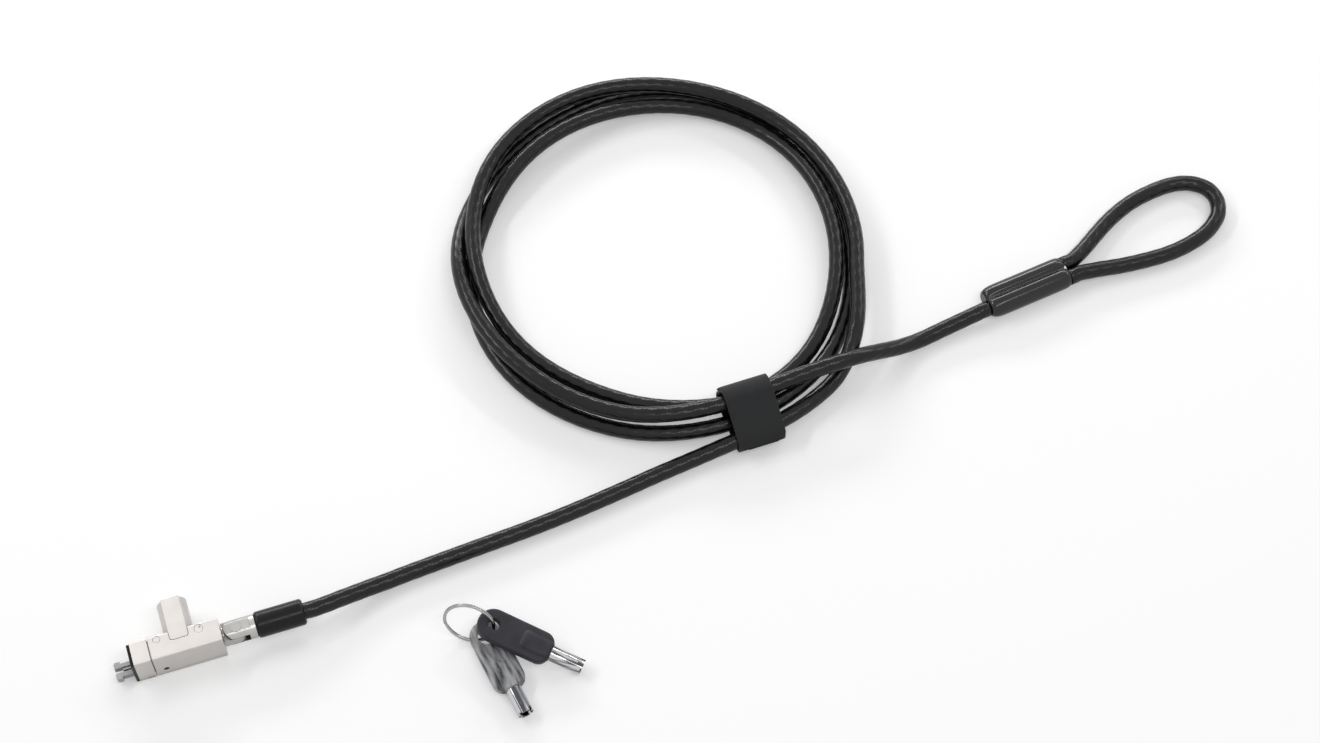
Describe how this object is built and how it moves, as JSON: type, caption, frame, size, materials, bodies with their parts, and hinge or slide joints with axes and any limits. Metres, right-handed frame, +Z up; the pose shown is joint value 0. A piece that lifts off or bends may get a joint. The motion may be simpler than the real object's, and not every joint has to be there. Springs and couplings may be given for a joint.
{
  "type": "laptop cable lock",
  "caption": "Slim keyed lock head with spreading hooks, a swivelling coated steel cable in a tied coil with an end loop, and tubular keys on a wire ring",
  "frame": {"origin": "centre of the underside of the main housing, on the surface that the object lies on", "axes": "+Z up; -X is the way the hooks point, out of the nose; +Y is the way the key barrel points; the cable leaves towards +X"},
  "size_m": [0.4478, 0.244, 0.0179],
  "materials": {
    "satin_zinc": "satin nickel plate on a zinc casting",
    "steel": "bright machined steel",
    "dark_steel": "dark oiled steel",
    "brass": "plain machined brass",
    "aluminium": "pressed aluminium",
    "black_rubber": "soft matte rubber",
    "black_plastic": "smooth moulded plastic with a soft gloss",
    "cable_jacket": "glossy jacket that shows the rope's strands",
    "strap": "matte hook and loop strap",
    "black_grip": "finely textured charcoal plastic",
    "grey_grip": "frosted grey plastic",
    "key_metal": "bright nickel plate"
  },
  "bodies": {
    "cable": {"swivel_yoke": "satin_zinc", "hinge_pin": "steel", "crimp_ferrule": "aluminium", "cable_core_end": "steel", "cable_sleeve": "black_plastic", "cable_lock_tail": "cable_jacket", "cable_coil": "cable_jacket", "tie_strap": "strap", "cable_eye_tail": "cable_jacket", "eye_ferrule": "black_plastic", "eye_crimp": "aluminium", "cable_eye_loop": "cable_jacket"},
    "link": {"rear_link": "steel"},
    "head": {"housing": "satin_zinc", "nose_collar": "satin_zinc", "nose_gasket": "black_rubber", "lock_cartridge": "satin_zinc", "tumbler_block": "brass", "driver_pins": "brass", "tumbler_springs": "steel", "collar_pin": "satin_zinc", "swivel_pin": "satin_zinc", "stop_screw": "dark_steel", "hook_pins": "steel"},
    "plug": {"key_plug": "dark_steel", "plug_spindle": "dark_steel", "key_pins": "brass", "drive_cam": "dark_steel"},
    "slider": {"latch_slider": "dark_steel"},
    "hook_far": {"far_hook": "steel"},
    "hook_near": {"near_hook": "steel"},
    "ring": {"key_ring": "key_metal"},
    "black_key": {"black_key_grip": "black_grip", "black_key_tube": "key_metal"},
    "grey_key": {"grey_key_grip": "grey_grip", "grey_key_tube": "key_metal"}
  },
  "joints": [
    {"name": "link_hinge", "type": "hinge", "parent": "cable", "child": "link", "pos_m": [0.0175, 0, 0.0075], "axis": [0, 0, 1], "range_deg": [-90, 90]},
    {"name": "head_swivel", "type": "hinge", "parent": "link", "child": "head", "pos_m": [0.008, 0, 0.0075], "axis": [1, 0, 0], "continuous": true},
    {"name": "key_turn", "type": "hinge", "parent": "head", "child": "plug", "pos_m": [-0.0016, 0.008, 0.0082], "axis": [0, -1, 0], "range_deg": [0, 90]},
    {"name": "latch_slide", "type": "slide", "parent": "head", "child": "slider", "axis": [-1, 0, 0], "range_m": [0, 0.0017]},
    {"name": "far_hook_swing", "type": "hinge", "parent": "head", "child": "hook_far", "pos_m": [-0.014, 0.00245, 0.0029], "axis": [0, 0, -1], "range_deg": [0, 6]},
    {"name": "near_hook_swing", "type": "hinge", "parent": "head", "child": "hook_near", "pos_m": [-0.014, -0.00245, 0.0029], "axis": [0, 0, 1], "range_deg": [0, 6]},
    {"name": "ring_lift", "type": "slide", "parent": "cable", "child": "ring", "axis": [0, 0, 1], "range_m": [0, 0.06]},
    {"name": "black_key_swing", "type": "hinge", "parent": "ring", "child": "black_key", "pos_m": [0.1023, -0.0273, 0.0096], "axis": [0.1492, -0.1297, 0.9803], "range_deg": [0, 30]},
    {"name": "grey_key_swing", "type": "hinge", "parent": "ring", "child": "grey_key", "pos_m": [0.0992, -0.0278, 0.0036], "axis": [0.0032, -0.0217, 0.9998], "range_deg": [-30, 0]}
  ],
  "couplings": [
    {"joint": "key_turn", "follows": "latch_slide", "rad_per_m": 923.9},
    {"joint": "far_hook_swing", "follows": "latch_slide", "rad_per_m": 61.59},
    {"joint": "near_hook_swing", "follows": "latch_slide", "rad_per_m": 61.59}
  ]
}
